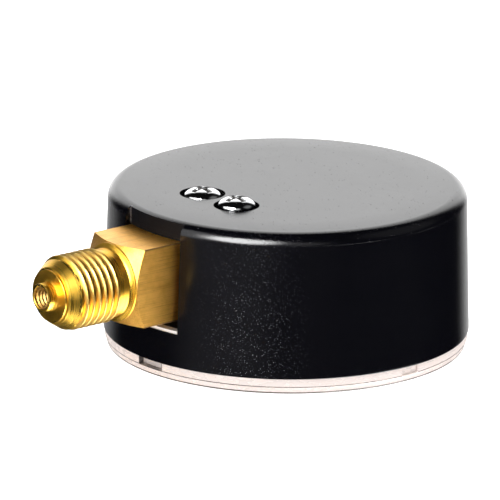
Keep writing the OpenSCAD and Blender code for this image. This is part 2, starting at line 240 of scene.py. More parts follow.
class Finish:
    """One procedural material, with short calls for the nodes it needs."""

    def __init__(self, name, color, roughness, metallic=0.0):
        self.mat = bpy.data.materials.new(name)
        self.mat.use_nodes = True
        self.tree = self.mat.node_tree
        self.shader = self.tree.nodes["Principled BSDF"]
        self.set("Base Color", (*color, 1))
        self.set("Roughness", roughness)
        self.set("Metallic", metallic)
        self.coords = self.add("ShaderNodeTexCoord").outputs["Object"]

    def add(self, kind, **values):
        node = self.tree.nodes.new(kind)
        for key, value in values.items():
            setattr(node, key, value)
        return node

    def link(self, a, b):
        self.tree.links.new(a, b)

    def set(self, socket, value):
        self.shader.inputs[socket].default_value = value

    def feed(self, socket, output):
        self.link(output, self.shader.inputs[socket])

    def stretched(self, scale):
        """Object coordinates in millimetres, times a scale for each axis."""
        node = self.add("ShaderNodeMapping")
        node.inputs["Scale"].default_value = [s / MM for s in scale]
        self.link(self.coords, node.inputs["Vector"])
        return node.outputs["Vector"]

    def noise(self, scale, detail, roughness=0.55):
        node = self.add("ShaderNodeTexNoise")
        node.inputs["Scale"].default_value = 1.0
        node.inputs["Detail"].default_value = detail
        node.inputs["Roughness"].default_value = roughness
        self.link(self.stretched(scale), node.inputs["Vector"])
        return node.outputs["Fac"]

    def cells(self, scale, w=None):
        """Distance to the nearest cell centre, and a random value for each cell.

        A value of w picks another pattern of the same size.
        """
        node = self.add("ShaderNodeTexVoronoi")
        node.inputs["Scale"].default_value = 1.0
        if w is not None:
            node.voronoi_dimensions = "4D"
            node.inputs["W"].default_value = w
        self.link(self.stretched((scale, scale, scale)), node.inputs["Vector"])
        split = self.add("ShaderNodeSeparateColor")
        self.link(node.outputs["Color"], split.inputs["Color"])
        return node.outputs["Distance"], split.outputs["Red"]

    def ramp(self, value, low, high, out_low=0.0, out_high=1.0, smooth=True):
        node = self.add("ShaderNodeMapRange")
        node.interpolation_type = "SMOOTHSTEP" if smooth else "LINEAR"
        node.inputs["From Min"].default_value = low
        node.inputs["From Max"].default_value = high
        node.inputs["To Min"].default_value = out_low
        node.inputs["To Max"].default_value = out_high
        self.link(value, node.inputs["Value"])
        return node.outputs["Result"]

    def distance(self, point, axes):
        """Distance from a point in the object's frame, in millimetres, along the axes that are 1."""
        node = self.add("ShaderNodeVectorMath", operation="DISTANCE")
        node.inputs[1].default_value = point
        self.link(self.stretched(axes), node.inputs[0])
        return node.outputs["Value"]

    def math(self, operation, a, b):
        """A math node; each operand is a number or an output."""
        node = self.add("ShaderNodeMath", operation=operation)
        for k, value in enumerate((a, b)):
            if isinstance(value, (int, float)):
                node.inputs[k].default_value = value
            else:
                self.link(value, node.inputs[k])
        return node.outputs[0]

    def mix(self, factor, a, b):
        """Blend of two colours, each a tuple or an output."""
        node = self.add("ShaderNodeMix", data_type="RGBA")
        self.link(factor, node.inputs[0])
        for socket, value in ((node.inputs[6], a), (node.inputs[7], b)):
            if isinstance(value, tuple):
                socket.default_value = (*value, 1)
            else:
                self.link(value, socket)
        return node.outputs[2]

    def bump(self, height, distance, under=None):
        """Bump of a depth in millimetres, on top of the bump given as under."""
        node = self.add("ShaderNodeBump")
        node.inputs["Strength"].default_value = 1.0
        node.inputs["Distance"].default_value = distance * MM
        self.link(height, node.inputs["Height"])
        if under is not None:
            self.link(under, node.inputs["Normal"])
        self.link(node.outputs["Normal"], self.shader.inputs["Normal"])
        return node.outputs["Normal"]


def paint(obj, *finishes):
    """Puts these materials, in order, on a piece or a CAD node."""
    obj.data.materials.clear()
    for finish in finishes:
        obj.data.materials.append(finish.mat)


# ---------------------------------------------------------------- materials


def case_plastic():
    """Black moulded ABS: fine grain, flecks and small pits on the back, pale dust on one side."""
    black, dust = (0.0019, 0.0019, 0.0032), (0.26, 0.27, 0.29)
    f = Finish("case_plastic", black, 0.16)
    f.set("Specular IOR Level", 0.5)
    split = f.add("ShaderNodeSeparateXYZ")
    f.link(f.stretched((1, 1, 1)), split.inputs[0])
    height = split.outputs["Z"]
    low_down = f.ramp(height, 10, 26, 1.0, 0.35)
    lying = f.math("MULTIPLY", f.ramp(f.distance(DUST_SPOT, (1, 1, 0)), 1, 12, 1.0, 0.0), low_down)
    near, pick = f.cells(5.6)
    speck = f.math("LESS_THAN", near, f.ramp(pick, 0.35, 1.0, 0.10, 0.34, smooth=False))
    shine = f.math("MULTIPLY", f.math("POWER", f.ramp(pick, 0.3, 1.0, smooth=False), 6.0), lying)
    f.feed("Base Color", f.mix(f.math("MULTIPLY", speck, shine), black, dust))
    soft = f.noise((0.16, 0.16, 0.16), 4.0)
    on_back = f.math("GREATER_THAN", height, BACK_Z - 2.0)
    fleck_near, fleck_pick = f.cells(2.2, 1.0)
    fleck_size = f.ramp(fleck_pick, 0.5, 1.0, 0.0, 0.30, smooth=False)
    fleck = f.math("MULTIPLY", f.math("LESS_THAN", fleck_near, fleck_size), on_back)
    wide = f.ramp(soft, 0.3, 0.7, 0.135, 0.175)
    f.feed("Roughness", f.math("ADD", wide, f.math("MULTIPLY", fleck, 0.4)))
    grain = f.noise((4.5, 4.5, 4.5), 2.0)
    pit_near, pit_pick = f.cells(1.4)
    pit_size = f.math("MULTIPLY", f.ramp(pit_pick, 0.76, 1.0, 0.0, 0.20, smooth=False), on_back)
    pits = f.ramp(f.math("SUBTRACT", pit_near, pit_size), 0.0, 0.05)
    coarse = f.math("MULTIPLY", f.noise((5.5, 5.5, 5.5), 1.0), f.math("MULTIPLY", on_back, 0.9))
    rough = f.bump(f.math("ADD", grain, coarse), 0.013)
    f.bump(pits, 0.03, rough)
    return f


def recess_plastic():
    """The unpolished panel over the socket: the same ABS with a coarse spark-eroded face."""
    f = Finish("recess_plastic", (0.0012, 0.0014, 0.0024), 0.5)
    f.set("Specular IOR Level", 0.12)
    grain = f.noise((3.0, 3.0, 3.0), 3.0)
    f.feed("Roughness", f.ramp(grain, 0.3, 0.7, 0.42, 0.6))
    f.bump(grain, 0.010)
    return f


def brass(name, grain_scale, rough, bump_mm, color, streak=0.25):
    """Bare brass with tool marks that run along the axes whose grain_scale is small."""
    f = Finish(name, color, rough, 1.0)
    marks = f.noise(grain_scale, 4.0, 0.65)
    wide = f.noise(tuple(g * 0.5 for g in grain_scale), 3.0)
    cloud = f.noise((0.5, 0.5, 0.5), 3.0)
    f.feed("Roughness", f.ramp(marks, 0.3, 0.7, rough * 0.8, rough * 1.25))
    dark = tuple(c * d for c, d in zip(color, (0.80, 0.74, 0.64)))
    brown = tuple(c * d for c, d in zip(color, (0.62, 0.50, 0.42)))
    base = f.mix(f.ramp(cloud, 0.35, 0.8), color, dark)
    lines = f.math("MULTIPLY", f.ramp(f.math("ADD", marks, wide), 0.95, 1.25), streak)
    f.base = f.mix(lines, base, brown)
    f.feed("Base Color", f.base)
    f.bump(marks, bump_mm)
    return f


def thread_brass():
    """Turned brass with painted shade in its thread roots, darkest at the roots and lighter up the flanks,
    by the distance from its axis.
    """
    crest, flank_shade, root_shade = (0.86, 0.57, 0.15), (0.78, 0.46, 0.10), (0.24, 0.13, 0.035)
    crest_r, root_r = 6.35, 5.72
    f = brass("brass_thread_root_shade", ROUND_MARKS, 0.35, 0.0006, crest, 0.2)
    radius = f.distance((0, 0, SHANK_Z), (1, 0, 1))
    middle = (crest_r + root_r) / 2
    # Painted shade: the colour darkens from the flanks down into the thread roots
    low = f.mix(f.ramp(radius, root_r, middle), root_shade, flank_shade)
    f.feed("Base Color", f.mix(f.ramp(radius, middle, crest_r), low, f.base))
    return f


def steel():
    """Ground steel of the pins, the arbors and the movement's screws."""
    rough = 0.28
    f = Finish("ground_steel", (0.62, 0.63, 0.65), rough, 1.0)
    marks = f.noise((9, 9, 1.2), 3.0)
    f.feed("Roughness", f.ramp(marks, 0.3, 0.7, rough * 0.75, rough * 1.3))
    f.bump(marks, 0.002)
    return f


def chrome():
    """Bright plating over a cold-headed blank, with a few fine pits."""
    f = Finish("bright_plating", (0.80, 0.81, 0.82), 0.07, 1.0)
    cloud = f.noise((1.4, 1.4, 1.4), 3.0)
    f.feed("Roughness", f.ramp(cloud, 0.35, 0.7, 0.05, 0.14))
    pits = f.noise((7, 7, 7), 2.0)
    f.bump(pits, 0.003)
    return f


def clear_plastic():
    """The window's pane and skirt."""
    f = Finish("clear_plastic", (0.98, 0.95, 0.94), 0.06)
    f.set("Transmission Weight", 1.0)
    f.set("IOR", ACRYLIC_IOR)
    haze = f.noise((0.6, 0.6, 0.6), 3.0)
    f.feed("Roughness", f.ramp(haze, 0.3, 0.75, 0.03, 0.10))
    f.bump(f.noise((1.5, 1.5, 1.5), 2.0), 0.002)
    return f


def screw_recess():
    """The driver recess, painted dark and mottled: painted shade inside the cross."""
    f = Finish("screw_recess", (0.16, 0.155, 0.15), 0.42, 0.85)
    recess_shade_noise = f.noise((2.2, 2.2, 2.2), 3.0)
    f.feed("Base Color", f.mix(f.ramp(recess_shade_noise, 0.4, 0.65), (0.30, 0.29, 0.28), (0.045, 0.04, 0.036)))
    f.feed("Roughness", f.ramp(recess_shade_noise, 0.3, 0.7, 0.3, 0.6))
    f.bump(recess_shade_noise, 0.010)
    return f


def moulded_edge(name, color, other, through):
    """Cloudy moulded plastic in two near colours, for the window's outside and the case's flash; in dark
    colours it gives the window's painted shadow lines and painted notch shade.
    """
    f = Finish(name, color, 0.3)
    f.set("Transmission Weight", through)
    f.set("IOR", ACRYLIC_IOR)
    cloud = f.noise((0.35, 0.35, 1.2), 3.0)
    f.feed("Base Color", f.mix(f.ramp(cloud, 0.35, 0.7), color, other))
    f.feed("Roughness", f.ramp(cloud, 0.3, 0.7, 0.2, 0.35))
    f.bump(f.noise((4, 4, 4), 2.0), 0.003)
    return f


def dial_paint():
    """White enamel on the front and on the tab; the back inside the case is painted near black, a painted
    shade of the case's dark inside.
    """
    white, cream, back_shade = (0.93, 0.90, 0.87), (0.87, 0.84, 0.81), (0.012, 0.012, 0.013)
    f = Finish("dial_enamel_and_back_shade", white, 0.35)
    cloud = f.noise((0.4, 0.4, 0.4), 3.0)
    enamel = f.mix(f.ramp(cloud, 0.3, 0.75), white, cream)
    split = f.add("ShaderNodeSeparateXYZ")
    f.link(f.add("ShaderNodeTexCoord").outputs["Normal"], split.inputs[0])
    # Painted shade: the dial's back inside the case is near black
    inside = f.math("LESS_THAN", f.distance((0, 0, 0), (1, 1, 0)), DIAL_R + 1.2)
    back = f.math("MULTIPLY", f.math("GREATER_THAN", split.outputs["Z"], 0.5), inside)
    f.feed("Base Color", f.mix(back, enamel, back_shade))
    f.bump(f.noise((4, 4, 4), 2.0), 0.002)
    return f


def ink():
    """Black printing ink on the dial."""
    black = (0.012, 0.012, 0.014)
    f = Finish("dial_ink", black, 0.45)
    lighter = tuple(c * 1.8 + 0.004 for c in black)
    f.feed("Base Color", f.mix(f.ramp(f.noise((3, 3, 3), 3.0), 0.4, 0.7), black, lighter))
    f.bump(f.noise((6, 6, 6), 2.0), 0.001)
    return f


def lacquer():
    """Matt black paint on the pointer."""
    f = Finish("pointer_lacquer", (0.014, 0.014, 0.016), 0.38)
    f.feed("Roughness", f.ramp(f.noise((2, 2, 2), 3.0), 0.3, 0.7, 0.3, 0.5))
    f.bump(f.noise((5, 5, 5), 2.0), 0.004)
    return f


# Scales of the tool marks: turned round the socket's axis, and ground along it
ROUND_MARKS = (0.06, 4.0, 0.06)
LONG_MARKS = (8.0, 0.14, 8.0)
ACRYLIC_IOR = 1.49

CASE_BLACK = case_plastic()
CASE_RECESS = recess_plastic()
CASE_FLASH = moulded_edge("case_flash", (0.06, 0.06, 0.07), (0.11, 0.11, 0.12), 0.0)
BRASS_FLATS = brass("brass_flats", LONG_MARKS, 0.38, 0.014, (0.90, 0.50, 0.105), 0.5)
BRASS_TURNED = brass("brass_turned", ROUND_MARKS, 0.30, 0.0006, (0.91, 0.55, 0.075), 0.2)
BRASS_NECK = brass("brass_neck", ROUND_MARKS, 0.31, 0.0010, (0.88, 0.51, 0.060), 0.3)
BRASS_EDGE = brass("brass_edge", LONG_MARKS, 0.5, 0.010, (0.36, 0.20, 0.07), 0.5)
BRASS_THREAD_ROOT_SHADE = thread_brass()
# Painted shade: the brass inside the bore is given a darker colour
BRASS_BORE_SHADE = brass("brass_bore_shade", (0.4, 4.0, 0.4), 0.45, 0.002, (0.50, 0.31, 0.09), 0.3)
BRASS_MOVEMENT = brass("brass_movement", (6.0, 0.8, 6.0), 0.32, 0.006, (0.80, 0.60, 0.26))
BRONZE_TUBE = brass("bronze_tube", (0.7, 0.7, 8.0), 0.30, 0.005, (0.72, 0.44, 0.18))
BRONZE_SPRING = brass("bronze_spring", (3.0, 3.0, 9.0), 0.22, 0.002, (0.68, 0.43, 0.18))
STEEL = steel()
CHROME = chrome()
SCREW_RECESS_SHADE = screw_recess()
CLEAR = clear_plastic()
BAND = moulded_edge("window_band", (0.94, 0.84, 0.80), (0.90, 0.78, 0.73), 0.15)
# Painted shadow lines along the window's front edge and where the band begins
BAND_SHADOW_LINE = moulded_edge("window_band_shadow_line", (0.13, 0.11, 0.10), (0.20, 0.17, 0.15), 0.1)
# Painted shade on the walls and lip of the window's wide notches
NOTCH_WALL_SHADE = moulded_edge("window_notch_wall_shade", (0.085, 0.075, 0.072), (0.13, 0.11, 0.10), 0.1)
ENAMEL_AND_BACK_SHADE = dial_paint()
INK = ink()
LACQUER = lacquer()

# ---------------------------------------------------------------- case

CASE_TURN = 0.7
EDGE_R = 2.2
BACK_T = 2.2
BEAD_H = 1.4
RIM_ROUND = 0.15
CORNER_R = 0.8
GROOVE_LOW_Z, GROOVE_HIGH_Z = 5.9, 6.9
BOSS_R = 5.2
COUNTERBORE_R = 4.0
SCREW_HOLE_R = 1.9
SCREW_HOLE_END_Z = 20
CUT_HALF_W = HALF_FLATS + 0.45
CUT_TOP_Z = SHANK_Z + HALF_FLATS + 0.13
PANEL_R = BACK_R - 1.1
# Only faces further than this from the middle, towards the connection, can be on the panel
PANEL_REACH = 25
PANEL_FINISH, FLASH_FINISH = 1, 2


def case_profile(floor_z):
    """Outline of the cup, from the middle of the back, round the rim, to the middle of the inside."""
    inner_top = BACK_R - WALL_T
    inner_rim = inner_top + 0.5
    bead_z = RIM_Z + BEAD_H
    low_z = bead_z + 0.6
    outline = [(r, BACK_Z) for r in (0, 8, 16, 23)]
    outline += arc(BACK_R - EDGE_R, BACK_Z - EDGE_R, EDGE_R, 90, 0, 12)
    outline += [(BACK_R + (BEAD_R - 0.06 - BACK_R) * t, BACK_Z - EDGE_R + (low_z - BACK_Z + EDGE_R) * t)
                for t in (0.25, 0.5, 0.75, 1.0)]
    outline += [(BEAD_R - 0.01, bead_z - 0.4), (BEAD_R, bead_z - 0.9)]
    outline += arc(BEAD_R - RIM_ROUND, RIM_Z + RIM_ROUND, RIM_ROUND, 0, -90, 4)
    outline += [(inner_rim + 0.1, RIM_Z), (inner_rim, RIM_Z + 0.1), (inner_rim - 0.07, GROOVE_LOW_Z),
                (inner_rim + 0.2, GROOVE_LOW_Z), (inner_rim + 0.2, GROOVE_HIGH_Z),
                (inner_rim - 0.09, GROOVE_HIGH_Z)]
    outline += arc(inner_top - CORNER_R, floor_z - CORNER_R, CORNER_R, 0, 90, 5)
    return outline + [(0, floor_z)]


def make_case():
    floor_z = BACK_Z - BACK_T
    shell = lathe("case_shell", case_profile(floor_z), 256, closed=False)
    low_z, high_z = floor_z + 0.4, SHANK_Z + HALF_FLATS
    for x in (-SCREW_X, SCREW_X):
        outline = [(0, low_z), (BOSS_R, low_z), (BOSS_R, high_z), (0, high_z)]
        boss = lathe("boss", outline, 64, closed=False, centre=(x, SCREW_Y))
        boolean(shell, boss, "UNION")
    # The opening for the shank, then the flat panel over it
    half = CUT_HALF_W
    outside = -BEAD_R - 1
    opening = box_mesh("opening", (-half, outside, DIAL_FACE_Z), (half, outside + 6, CUT_TOP_Z))
    boolean(shell, turn_z(opening, CASE_TURN))
    low_z, high_z = CUT_TOP_Z - 4, BACK_Z + 2
    ring = lathe("ring", [(PANEL_R, low_z), (40, low_z), (40, high_z), (PANEL_R, high_z)], 256)
    panel = box_mesh("panel", (-half, outside, CUT_TOP_Z - 2), (half, outside + 8, BACK_Z + 1))
    boolean(ring, turn_z(panel, CASE_TURN), "INTERSECT")
    boolean(shell, ring)
    # Thin moulding flash up the panel's corner
    corner_y = -math.sqrt(PANEL_R ** 2 - half ** 2)
    flash = box_mesh("flash", (-half - 0.05, corner_y - 0.09, CUT_TOP_Z + 0.3),
                     (-half + 0.09, corner_y + 0.2, BACK_Z - 0.5))
    boolean(shell, turn_z(flash, CASE_TURN), "UNION")
    for x in (-SCREW_X, SCREW_X):
        outline = [(0, BACK_Z + 1), (COUNTERBORE_R, BACK_Z + 1), (COUNTERBORE_R, SCREW_SEAT_Z),
                   (SCREW_HOLE_R, SCREW_SEAT_Z), (SCREW_HOLE_R, SCREW_HOLE_END_Z), (0, SCREW_HOLE_END_Z)]
        boolean(shell, lathe("hole", outline, 96, closed=False, centre=(x, SCREW_Y)))
    bevel(shell, 0.10, 2, 50)
    paint(shade(shell, 30), CASE_BLACK, CASE_RECESS, CASE_FLASH)
    for poly in shell.data.polygons:
        spot = poly.center / MM
        near_panel = spot.z > CUT_TOP_Z + 0.05 and spot.y < -PANEL_REACH and abs(spot.x) < half + 0.6
        if near_panel and math.hypot(spot.x, spot.y) < PANEL_R + 0.03 and poly.normal.y < -0.9:
            poly.material_index = PANEL_FINISH
        if near_panel and abs(spot.x + half - 0.35) < 0.13 and abs(spot.y - corner_y) < 0.25:
            poly.material_index = FLASH_FINISH
    place(shell, "case_body", "case", "case")


make_case()

# ---------------------------------------------------------------- window

WINDOW_TURN = 2.5
BAND_R = BACK_R + 0.45
FRONT_R = BACK_R + 0.1
FRONT_ROUND = 0.25
BAND_ROUND = 0.08
STEP_Z = 1.2
# A shadow line at the front edge, and another where the band begins
LINE_TOP_Z = 0.32
STEP_LINE_H = 0.18
SKIRT_R = BACK_R - WALL_T + 0.35
SKIRT_T = 1.2
SKIRT_TOP_Z = 8
PANE_T = 2
NOTCH_H = 1.4
# Half width and depth of the notches: two by the connection's axis, and two at the sides
WIDE_NOTCH, SIDE_NOTCH = (2.9, 1.15), (1.8, 0.5)
LIP_DEPTH, LIP_W = 0.16, 0.14
CLEAR_FINISH, BAND_FINISH, SHADOW_LINE_FINISH, NOTCH_SHADE_FINISH = range(4)


def window_profile():
    """Outline of the window, from the middle of its face, round the band, to the pane's inside."""
    outline = [(0, 0), (10, 0), (20, 0)]
    outline += arc(FRONT_R - FRONT_ROUND, FRONT_ROUND, FRONT_ROUND, -90, 0, 5)
    outline += [(FRONT_R, LINE_TOP_Z), (FRONT_R, STEP_Z - 0.1), (FRONT_R + 0.05, STEP_Z)]
    outline += arc(BAND_R - BAND_ROUND, STEP_Z + BAND_ROUND, BAND_ROUND, -90, 0, 3)
    outline += [(BAND_R, STEP_Z + STEP_LINE_H)]
    outline += arc(BAND_R - BAND_ROUND, RIM_Z - BAND_ROUND, BAND_ROUND, 0, 90, 3)
    outline += [(SKIRT_R, RIM_Z), (SKIRT_R, 6), (SKIRT_R + 0.25, 6), (SKIRT_R + 0.25, 6.4), (SKIRT_R, 6.8),
                (SKIRT_R, SKIRT_TOP_Z), (SKIRT_R - SKIRT_T, SKIRT_TOP_Z), (SKIRT_R - SKIRT_T, PANE_T),
                (0, PANE_T)]
    return outline


def make_window():
    pane = lathe("window_pane", window_profile(), 256, closed=False)
    notch_z = RIM_Z - NOTCH_H
    side_depth = SIDE_NOTCH[1]
    top = RIM_Z + 0.6
    for k in range(4):
        half, deep = SIDE_NOTCH if k % 2 else WIDE_NOTCH
        turn = WINDOW_TURN - 90 + 90 * k
        lip = box_mesh("lip", (BAND_R - LIP_DEPTH, -half - LIP_W, notch_z - LIP_W),
                       (BAND_R + 1, half + LIP_W, top))
        boolean(pane, turn_z(lip, turn))
        notch = box_mesh("notch", (BAND_R - deep, -half, notch_z), (BAND_R + 1, half, top))
        boolean(pane, turn_z(notch, turn))
    paint(shade(pane, 30), CLEAR, BAND, BAND_SHADOW_LINE, NOTCH_WALL_SHADE)
    for poly in pane.data.polygons:
        spot = poly.center / MM
        radius = math.hypot(spot.x, spot.y)
        faces_out = (spot.x * poly.normal.x + spot.y * poly.normal.y) / max(radius, 1e-6)
        # The far wall of the wide notches lies deeper than this, and has the band's finish
        in_notch = BAND_R - side_depth - 0.1 < radius < BAND_R - 0.02 and spot.z > notch_z - LIP_W - 0.01
        on_shadow_line = spot.z < LINE_TOP_Z or (not in_notch and STEP_Z - 0.02 < spot.z < STEP_Z + STEP_LINE_H)
        if radius < SKIRT_R + 0.3:
            poly.material_index = CLEAR_FINISH
        elif in_notch and abs(spot.x) > abs(spot.y):
            poly.material_index = BAND_FINISH
        # Walls and lip of the wide notches get the painted notch shade
        elif in_notch and (radius > BAND_R - LIP_DEPTH - 0.05 or max(faces_out, poly.normal.z) < 0.9):
            poly.material_index = NOTCH_SHADE_FINISH
        # The painted shadow lines at the front edge and the step
        elif on_shadow_line:
            poly.material_index = SHADOW_LINE_FINISH
        else:
            poly.material_index = BAND_FINISH
    place(pane, "case_body", "window", "window")


make_window()

# ---------------------------------------------------------------- socket

# Places along the socket are distances from the middle of the case towards the connection (-Y).
# The outer thread is G1/4, with the round crests and roots of the 55 degree Whitworth form.
PITCH = 1.337
CREST_R = 6.5785
WHITWORTH_R = 0.137329 * PITCH
FLANK = math.radians(27.5)
THREAD_START = 42.15
THREAD_END = 50.0
NECK_R = 6.0
INNER_PITCH = 0.7
INNER_CREST_R, INNER_DEPTH = 1.65, 0.30
INNER_LENGTH = 8
PASSAGE_R = 1.0
TIP = -SOCKET_LOW.y
# The redrawn shank begins here, inside the case, where it meets the CAD's block
SHANK_START = 29.0
SHANK_CORNER = 0.12
COLLAR_R, COLLAR_START, COLLAR_FACE = 6.9, 39.3, 39.6
COLLAR_LIP = 0.12
NECK_START = 40.1
CONE_END, CONE_R = 52.4, 5.0
FACE, FACE_R = 53.0, 4.6
SPIGOT_R = 2.5


def whitworth_drop(phase):
    """How far the outer thread lies under its crest, phase 0 to 1 along the pitch."""
    from_crest = min(phase, 1 - phase) * PITCH
    edge = WHITWORTH_R * math.cos(FLANK)
    step = WHITWORTH_R * (1 - math.sin(FLANK))
    total = 2 * step + (PITCH / 2 - 2 * edge) / math.tan(FLANK)
    if from_crest < edge:
        return WHITWORTH_R - math.sqrt(WHITWORTH_R ** 2 - from_crest ** 2)
    if from_crest > PITCH / 2 - edge:
        from_root = PITCH / 2 - from_crest
        return total - WHITWORTH_R + math.sqrt(WHITWORTH_R ** 2 - from_root ** 2)
    return step + (from_crest - edge) / math.tan(FLANK)


def smooth(x):
    """Eased step from 0 to 1."""
    x = max(0.0, min(1.0, x))
    return x * x * (3 - 2 * x)


def outer_thread(s, a):
    """Radius of the G1/4 thread at distance s along the axis and angle a."""
    phase = (s / PITCH - a / (2 * math.pi)) % 1.0
    return CREST_R - whitworth_drop(phase)


def inner_thread(s, a):
    """Radius of the small thread in the spigot."""
    phase = (s / INNER_PITCH - a / (2 * math.pi)) % 1.0
    return INNER_CREST_R + INNER_DEPTH * smooth(abs(phase - 0.5) * 2.4)


def shank_radius(a):
    """Distance from the axis to the square shank, which has round corners, in direction a."""
    c, s = abs(math.cos(a)), abs(math.sin(a))
    c, s = max(c, s), min(c, s)
    corner_centre = HALF_FLATS - SHANK_CORNER
    if s / c <= corner_centre / HALF_FLATS:
        return HALF_FLATS / c
    along = corner_centre * (c + s)
    return along + math.sqrt(max(0.0, along * along - 2 * corner_centre ** 2 + SHANK_CORNER ** 2))


def chamfer_start(a):
    """Where the 30 degree chamfer on the shank's front begins, in direction a."""
    return COLLAR_START - (shank_radius(a) - COLLAR_R) * math.tan(math.radians(30))


def collar_profile():
    """The collar's lip, the hollow curve down to the neck, and the neck up to the thread."""
    points = arc(COLLAR_R - COLLAR_LIP, COLLAR_FACE - COLLAR_LIP, COLLAR_LIP, 0, 65, 5)
    lip_r, lip_s = points[-1]
    run = NECK_START + 0.15 - lip_s
    points += [(NECK_R + (lip_r - NECK_R) * (1 - k / 10) ** 1.9, lip_s + run * k / 10) for k in range(1, 11)]
    return points + [(NECK_R, THREAD_START - 0.3), (NECK_R, THREAD_START - 0.02)]


def shank_angles():
    """Every second degree, and closer steps round the square's corners."""
    angles = set(math.radians(a) for a in range(0, 360, 2))
    for k in range(4):
        for extra in (-1.2, -0.9, -0.62, -0.4, -0.2, 0, 0.2, 0.4, 0.62, 0.9, 1.2):
            angles.add(math.radians(45 + 90 * k + extra))
    return sorted(angles)


def shank_rows(angles):
    """Rings of (radius, distance), one point for each angle, from the shank to the bore's end."""
    rows = []
    for t in (0.0, 0.3, 0.6, 0.85, 0.97, 1.0):
        rows.append([(shank_radius(a), SHANK_START + (chamfer_start(a) - SHANK_START) * t) for a in angles])
    for t in (0.03, 0.3, 0.6, 0.9, 1.0):
        rows.append([(shank_radius(a) * (1 - t) + COLLAR_R * t,
                      chamfer_start(a) * (1 - t) + COLLAR_START * t) for a in angles])
    rows += [[point] * len(angles) for point in collar_profile()]
    step = PITCH / 14
    for k in range(int((CONE_END - THREAD_START) / step)):
        s = THREAD_START + k * step
        rise = NECK_R + (s - THREAD_START) * 1.6
        cone = CONE_R + (CONE_END - s) * (CREST_R - CONE_R) / (CONE_END - THREAD_END)
        rows.append([(min(outer_thread(s, a), rise, cone), s) for a in angles])
    tip = [(CONE_R, CONE_END - 0.02), (CONE_R - 0.03, CONE_END + 0.04), (FACE_R, CONE_END + 0.12),
           (FACE_R, FACE - 0.05), (FACE_R - 0.05, FACE), (3.4, FACE), (SPIGOT_R + 0.2, FACE),
           (SPIGOT_R + 0.05, FACE + 0.06), (SPIGOT_R, FACE + 0.2), (SPIGOT_R, TIP - 0.15),
           (SPIGOT_R - 0.04, TIP - 0.04), (SPIGOT_R - 0.15, TIP), (2.05, TIP), (1.97, TIP - 0.05)]
    rows += [[point] * len(angles) for point in tip]
    bore_start, bore_end = TIP - 0.15, TIP - INNER_LENGTH
    mouth_r = INNER_CREST_R + INNER_DEPTH
    step = INNER_PITCH / 8
    for k in range(int((bore_start - bore_end) / step)):
        s = bore_start - k * step
        lead = smooth((TIP - s - 0.1) / 0.5)
        rows.append([(inner_thread(s, a) * lead + mouth_r * (1 - lead), s) for a in angles])
    passage = [(INNER_CREST_R, bore_end), (PASSAGE_R, bore_end - 0.5), (PASSAGE_R, SHANK_START)]
    return rows + [[point] * len(angles) for point in passage]


SOCKET_FINISHES = (BRASS_FLATS, BRASS_TURNED, BRASS_THREAD_ROOT_SHADE, BRASS_BORE_SHADE, BRASS_NECK, BRASS_EDGE)
FLATS, TURNED, THREAD, BORE_SHADE, NECK, EDGE = range(6)


def socket_finish(radius, s):
    """Which of the finishes a face has, from its distance to the axis and its place along it."""
    # Faces round the bore get the painted bore shade
    if radius < 2.0:
        return BORE_SHADE
    if radius > shank_radius(math.radians(45)) - 0.09:
        return EDGE
    if s < COLLAR_START - 0.02:
        return FLATS
    if s < THREAD_START - 0.1:
        return NECK
    return THREAD if THREAD_START - 0.1 < s < THREAD_END else TURNED


def paint_keep(obj, *finishes):
    """As paint, but keeps each face's material number."""
    numbers = [poly.material_index for poly in obj.data.polygons]
    paint(obj, *finishes)
    for poly, number in zip(obj.data.polygons, numbers):
        poly.material_index = number


def inner_block():
    """The CAD socket's part inside the case, closed where it meets the shank."""
    mesh = NODES["socket"].data.copy()
    mesh.materials.clear()
    bm = bmesh.new()
    bm.from_mesh(mesh)
    bmesh.ops.remove_doubles(bm, verts=bm.verts, dist=1e-6)
    everything = bm.verts[:] + bm.edges[:] + bm.faces[:]
    cut = bmesh.ops.bisect_plane(bm, geom=everything, plane_co=(0, -SHANK_START * MM, 0),
                                 plane_no=(0, -1, 0), clear_outer=True)
    rim = [e for e in cut["geom_cut"] if isinstance(e, bmesh.types.BMEdge)]
    bmesh.ops.triangle_fill(bm, use_beauty=True, use_dissolve=False, edges=rim)
    bmesh.ops.recalc_face_normals(bm, faces=bm.faces)
    bm.to_mesh(mesh)
    bm.free()
    return linked("block", mesh)


def make_socket():
    angles = shank_angles()
    rows = shank_rows(angles)
    verts, faces = [], []
    for row in rows:
        for (r, s), a in zip(row, angles):
            verts.append((r * math.cos(a), -s, SHANK_Z + r * math.sin(a)))
    n = len(angles)
    for i in range(len(rows)):
        j = (i + 1) % len(rows)
        for k in range(n):
            m = (k + 1) % n
            faces.append((i * n + k, i * n + m, j * n + m, j * n + k))
    shank = from_pydata("shank", verts, faces)
    paint(shank, *SOCKET_FINISHES)
    for poly in shank.data.polygons:
        spot = poly.center / MM
        poly.material_index = socket_finish(math.hypot(spot.x, spot.z - SHANK_Z), -spot.y)
    socket = join([shank, inner_block()], "socket_body")
    paint_keep(socket, *SOCKET_FINISHES)
    shade(socket, 28)
    place(socket, "case_body", "socket_brass", "socket")


make_socket()

# ---------------------------------------------------------------- case screws

HEAD_SIDE = 1.1
HEAD_DOME = 1.3
SCREW_LEN = 7.2
SCREW_R = 1.5
SCREW_PITCH = 0.5
# How far the second screw stands off its seat
STANDOFF = SCREWS_HIGH.z - (SCREW_SEAT_Z + HEAD_SIDE + HEAD_DOME)


def cross_outline(reach, half_w):
    """Twelve corners of a cross, in order round it."""
    points = []
    for k in range(4):
        a = math.radians(90 * k)
        for x, y in ((half_w, half_w), (reach, half_w), (reach, -half_w)):
            points.append((x * math.cos(a) + y * math.sin(a), x * math.sin(a) - y * math.cos(a)))
    return sorted(points, key=lambda p: math.atan2(p[1], p[0]))


